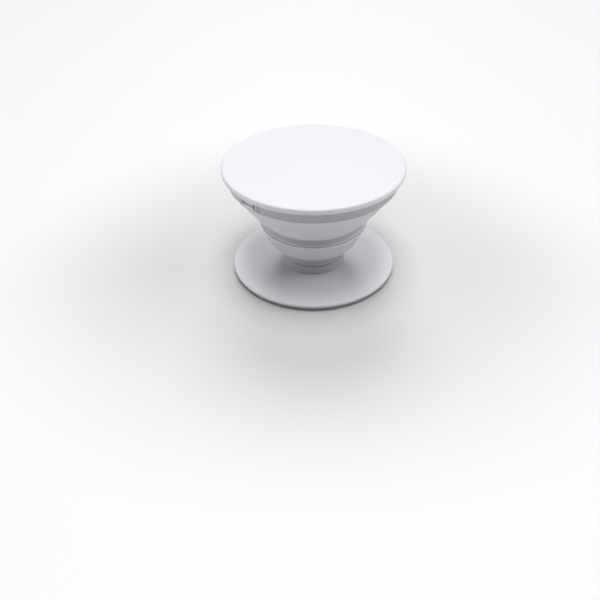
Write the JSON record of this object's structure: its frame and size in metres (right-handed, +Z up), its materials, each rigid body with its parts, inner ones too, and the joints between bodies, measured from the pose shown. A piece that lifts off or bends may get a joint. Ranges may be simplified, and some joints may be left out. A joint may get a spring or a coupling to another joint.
{
  "type": "phone grip",
  "caption": "Round pull-out phone grip: a thin adhesive base, a stepped telescoping rubber cone and a flat round top that twists off its bayonet.",
  "frame": {"origin": "middle of the underside of the adhesive disc, the face that sticks to the phone", "axes": "+Z up the grip's axis to the round top, -Y towards the snap finger in the cap's skirt, +X completes the right hand"},
  "size_m": [0.0418, 0.0418, 0.0275],
  "materials": {
    "adhesive": "tacky translucent gel",
    "plastic": "satin moulded",
    "inner_plastic": "plain moulded",
    "soft_rubber": "matt soft elastomer",
    "top_plastic": "fine satin"
  },
  "bodies": {
    "base": {"adhesive_disc": "adhesive", "base_plate": "plastic", "base_retainer": "inner_plastic", "rubber_cone": "soft_rubber"},
    "mount": {"mount_plate": "inner_plastic", "clamp_ring": "inner_plastic"},
    "cap": {"cap_shell": "plastic", "top_disc": "top_plastic"}
  },
  "joints": [
    {"name": "collapse", "type": "slide", "parent": "base", "child": "mount", "axis": [0, 0, 1], "range_m": [-0.018, 0], "deforming": ["rubber_cone"]},
    {"name": "cap_twist", "type": "hinge", "parent": "mount", "child": "cap", "pos_m": [0, 0, 0.0253], "axis": [0, 0, 1], "range_deg": [0, 90]}
  ]
}
